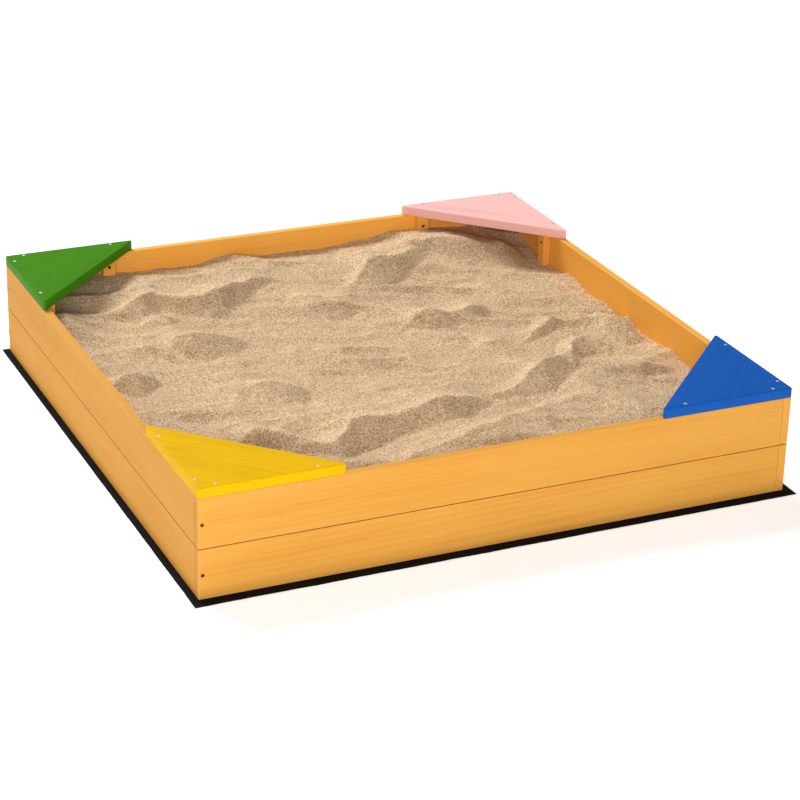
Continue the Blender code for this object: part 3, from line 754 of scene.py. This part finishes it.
def smooth_noise(x, y, cell, seed):
    """A smooth random field between -1 and 1, with features the size of cell."""
    lattice = np.random.default_rng(seed).uniform(-1.0, 1.0, (512, 512))
    u, v = x / cell + 200.0, y / cell + 200.0
    column, row = np.floor(u).astype(int), np.floor(v).astype(int)
    fu, fv = u - column, v - row
    fu, fv = fu * fu * (3 - 2 * fu), fv * fv * (3 - 2 * fv)
    lower = lattice[row, column] * (1 - fu) + lattice[row, column + 1] * fu
    upper = lattice[row + 1, column] * (1 - fu) + lattice[row + 1, column + 1] * fu
    return lower * (1 - fv) + upper * fv


def eased(value):
    value = np.clip(value, 0.0, 1.0)
    return value * value * (3 - 2 * value)


def sand_surface(x, y):
    """(height, painted shade, painted highlight) of the sand at the points (x, y)."""
    bent_x = x + 0.007 * smooth_noise(x, y, 0.07, 1) + 0.003 * smooth_noise(x, y, 0.025, 2)
    bent_y = y + 0.008 * smooth_noise(x, y, 0.08, 3) + 0.003 * smooth_noise(x, y, 0.022, 4)
    height = np.full_like(x, RIM - SAND_BELOW_RIM)
    height += NORTH_BANK * np.exp(-((INNER - y) / NORTH_BANK_REACH) ** 2)
    height -= EAST_DIP * eased((x - 0.25) / 0.30)
    height += CORNER_MOUND * np.exp(-((x + 0.56) ** 2 + (y - 0.33) ** 2) / 0.07 ** 2)
    height += EAST_MOUND * np.exp(-((x - 0.40) ** 2 + (y - 0.50) ** 2) / 0.12 ** 2)
    shade_mark = np.zeros_like(x)
    highlight_mark = np.zeros_like(x)
    for points, slope, reach in DUNES:
        chain = np.array(points)
        crest = np.interp(bent_x, chain[:, 0], chain[:, 1])
        width = np.interp(bent_x, chain[:, 0], chain[:, 2])
        ends = (bent_x - chain[0, 0], chain[-1, 0] - bent_x)
        inside = eased(np.minimum(*ends) / 0.040 + 0.45)
        width = np.maximum(width, 0.004)
        face = np.clip((bent_y - crest + width) / width, 0.0, 1.0)
        back = np.clip(1.0 - (bent_y - crest) / reach, 0.0, 1.0) ** CREST_POWER
        height += inside * width * slope * face * back
        # Painted shade on the face south of the crest, fuller on higher dunes, and a painted highlight
        # in a band north of it.
        bold = eased(width * slope / BOLD_HEIGHT)
        past = bent_y - crest
        on_face = eased((past + width) / 0.010) * eased((0.003 - past) / 0.005)
        shade_mark = np.maximum(shade_mark, on_face * inside * bold * (bold + (1.0 - bold) * face))
        behind = eased((past + 0.004) / 0.006) * eased(1.0 - past / CREST_HIGHLIGHT_REACH)
        highlight_mark = np.maximum(highlight_mark, behind * inside * eased(width * slope / MARKED_HEIGHT))
    for cell, lift, seed in RIDGES:
        ridge = 1.0 - np.abs(smooth_noise(bent_x / 2.2, bent_y + 0.25 * bent_x, cell, seed))
        height += lift * (ridge ** 2 - 0.45) * (1.0 - 0.8 * shade_mark)
    for cell, lift, seed in WAVES:
        height += lift * smooth_noise(x, y, cell, seed)
    height = np.minimum(height, RIM - SAND_PEAK_BELOW_RIM)
    # Painted shade on slopes that face away from the light, painted highlight on slopes that face it.
    rise_x, rise_y = np.gradient(height, x[:, 0], y[0])
    away_from_light = TOWARD_LIGHT[0] * rise_x + TOWARD_LIGHT[1] * rise_y
    shade_mark = np.maximum(shade_mark, 0.65 * eased((away_from_light - 0.08) / 0.34))
    highlight_mark = np.maximum(highlight_mark, 0.70 * eased((-away_from_light - 0.05) / 0.30)) * (1.0 - shade_mark)
    return height, shade_mark, highlight_mark


def sand_lines():
    """Grid lines across the sand: its edges, the sides of every notch, and even cells between."""
    edge = INNER - GAP
    notch = BATTEN_FACE - GAP
    fixed = {-edge, -notch, notch, edge}
    for turn in range(4):
        for name, _ in batten_middles(turn):
            low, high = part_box(name)
            axis = turn % 2
            fixed.update((low[axis] - GAP, high[axis] + GAP))
    ordered = sorted(round(line, 5) for line in fixed)
    ordered = [line for index, line in enumerate(ordered) if index == 0 or line > ordered[index - 1]]
    lines = []
    for low, high in zip(ordered, ordered[1:]):
        count = max(1, round((high - low) / SAND_CELL))
        lines += [low + (high - low) * step / count for step in range(count)]
    return np.array(lines + [ordered[-1]])


def notched_cells(lines):
    """Which cells of the grid hold sand, as a table by column and row."""
    middles = (lines[:-1] + lines[1:]) / 2
    held = np.ones((len(middles), len(middles)), bool)
    for turn in range(4):
        for name, _ in batten_middles(turn):
            low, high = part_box(name)
            spans = []
            for axis in range(2):
                spans.append((middles > low[axis] - 2 * GAP) & (middles < high[axis] + 2 * GAP))
            wall = turn % 2 == 0
            across = 1 if wall else 0
            outward = middles < low[across] if low[across] < 0 else middles > high[across]
            spans[across] = spans[across] | outward
            held[np.ix_(spans[0], spans[1])] = False
    return held


def sand_mesh(name):
    """The closed body of sand, notched round the battens, with its painted shade and painted highlight
    as attributes.
    """
    lines = sand_lines()
    held = notched_cells(lines)
    count = len(lines)
    grid_x, grid_y = np.meshgrid(lines, lines, indexing="ij")
    height, *marks = sand_surface(grid_x, grid_y)
    used = np.zeros((count, count), bool)
    for shift_x in (0, 1):
        for shift_y in (0, 1):
            used[shift_x:count - 1 + shift_x, shift_y:count - 1 + shift_y] |= held
    number = np.full((count, count), -1)
    number[used] = np.arange(used.sum())
    points = np.stack([grid_x[used], grid_y[used], height[used]], -1).tolist()
    cells = np.argwhere(held)
    column, row = cells[:, 0], cells[:, 1]
    faces = np.stack([number[column, row], number[column + 1, row], number[column + 1, row + 1],
                      number[column, row + 1]], -1).tolist()

    following = {}
    steps = (((0, 0), (1, 0), (0, -1)), ((1, 0), (1, 1), (1, 0)),
             ((1, 1), (0, 1), (0, 1)), ((0, 1), (0, 0), (-1, 0)))
    padded = np.zeros((count + 1, count + 1), bool)
    padded[1:-1, 1:-1] = held
    for start, end, beyond in steps:
        open_side = held & ~padded[1 + beyond[0]:count + beyond[0], 1 + beyond[1]:count + beyond[1]]
        for c, r in np.argwhere(open_side):
            following[c + start[0], r + start[1]] = (c + end[0], r + end[1])
    first = next(iter(following))
    loop = [first]
    while following[loop[-1]] != first:
        loop.append(following[loop[-1]])
    foot = len(points)
    points += [(lines[c], lines[r], FRAME_FOOT) for c, r in loop]
    for index, (c, r) in enumerate(loop):
        after = (index + 1) % len(loop)
        faces.append((foot + index, foot + after, int(number[loop[after]]), int(number[c, r])))
    faces.append([foot + index for index in range(len(loop))][::-1])

    mesh = bpy.data.meshes.new(name)
    mesh.from_pydata(points, [], faces)
    for word, mark in zip(("painted_face_shade", "painted_crest_highlight"), marks):
        values = np.zeros(len(points), np.float32)
        values[:foot] = mark[used]
        mesh.attributes.new(word, "FLOAT", "POINT").data.foreach_set("value", values)
    mesh.shade_smooth()
    mesh.set_sharp_from_angle(angle=math.radians(70))
    return mesh


def add_sand():
    sand = new_object("sand_surface", sand_mesh("sand_surface"), play_sand())
    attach(sand, "root")
    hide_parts("sand_fill")


def add_ground_sheet():
    """The black cloth under the frame, flat where the boards press it and wavy at its edges."""
    low, high = SHEET_LOW, SHEET_HIGH
    count = round((high.x - low.x) / CLOTH_CELL)
    xs = np.linspace(low.x, high.x, count + 1)
    ys = np.linspace(low.y, high.y, count + 1)
    grid_x, grid_y = np.meshgrid(xs, ys, indexing="ij")
    outside = np.maximum(np.abs(grid_x), np.abs(grid_y)) - HALF
    loose = eased(outside / CLOTH_CELL)
    wave = 0.5 + 0.5 * smooth_noise(grid_x, grid_y, 0.055, 11)
    lift = CLOTH_LIFT * loose * wave
    edge_x = (grid_x == xs[0]) | (grid_x == xs[-1])
    edge_y = (grid_y == ys[0]) | (grid_y == ys[-1])
    ragged = CLOTH_FRAY * smooth_noise(grid_x, grid_y, 0.020, 12)
    moved_x = grid_x - np.sign(grid_x) * np.abs(ragged) * edge_x
    moved_y = grid_y - np.sign(grid_y) * np.abs(ragged) * edge_y
    size = count + 1
    floor_points = np.stack([moved_x, moved_y, lift], -1).reshape(-1, 3)
    upper_points = floor_points + (0.0, 0.0, CLOTH_THICKNESS)
    points = np.concatenate([upper_points, floor_points]).tolist()
    under = size * size
    faces = []
    for c in range(count):
        for r in range(count):
            ring = (c * size + r, (c + 1) * size + r, (c + 1) * size + r + 1, c * size + r + 1)
            faces.append(ring)
            faces.append([under + corner for corner in reversed(ring)])
    rim = [c * size for c in range(count)] + [count * size + r for r in range(count)]
    rim += [c * size + count for c in range(count, 0, -1)] + list(range(count, 0, -1))
    for start, end in zip(rim, rim[1:] + rim[:1]):
        faces.append((under + start, under + end, end, start))
    mesh = bpy.data.meshes.new("ground_cloth")
    mesh.from_pydata(points, [], faces)
    mesh.shade_smooth()
    mesh.set_sharp_from_angle(angle=math.radians(50))
    cloth = new_object("ground_cloth", mesh, ground_cloth())
    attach(cloth, "root")
    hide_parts("ground_cover_sheet")


def add_camera():
    data = bpy.data.cameras.new("camera")
    data.lens = CAMERA_LENS
    data.sensor_width = CAMERA_SENSOR
    camera = bpy.data.objects.new("camera", data)
    level = math.cos(CAMERA_ELEVATION)
    back = Vector((math.sin(CAMERA_AZIMUTH) * level, -math.cos(CAMERA_AZIMUTH) * level,
                   math.sin(CAMERA_ELEVATION)))
    aim = (-back).to_track_quat("-Z", "Y").to_matrix().to_4x4()
    camera.matrix_world = (Matrix.Translation(CAMERA_PLACE) @ aim
                           @ Matrix.Rotation(CAMERA_ROLL, 4, "Z"))
    bpy.context.scene.collection.objects.link(camera)
    bpy.context.scene.camera = camera


def area_light(name, place, target, size, watts):
    data = bpy.data.lights.new(name, "AREA")
    data.shape = "RECTANGLE"
    data.size, data.size_y = size
    data.energy = watts
    lamp = bpy.data.objects.new(name, data)
    lamp.location = place
    lamp.rotation_euler = (Vector(target) - Vector(place)).to_track_quat("-Z", "Y").to_euler()
    bpy.context.scene.collection.objects.link(lamp)


def add_studio():
    """A white floor, a white surround, a key light behind on the left and a low front fill."""
    scene = bpy.context.scene
    scene.view_settings.view_transform = "Standard"
    world = bpy.data.worlds.new("studio")
    world.use_nodes = True
    world.node_tree.nodes["Background"].inputs["Color"].default_value = (1.0, 1.0, 1.0, 1.0)
    world.node_tree.nodes["Background"].inputs["Strength"].default_value = SURROUND
    scene.world = world
    bm = bmesh.new()
    bmesh.ops.create_grid(bm, x_segments=4, y_segments=4, size=14.0)
    floor = new_object("studio_floor", mesh_of("studio_floor", bm), floor_paper())
    floor.location.z = -0.0004
    area_light("key", (-1.3, 6.2, 7.2), (0.0, 0.0, 0.1), (4.2, 4.2), KEY_WATTS)
    area_light("front_fill", (-1.8, -3.9, 1.60), (0.0, 0.2, 0.15), (2.4, 1.0), FILL_WATTS)


add_camera()
add_studio()
stain_timber()
add_seats()
add_screws()
add_ground_sheet()
add_sand()
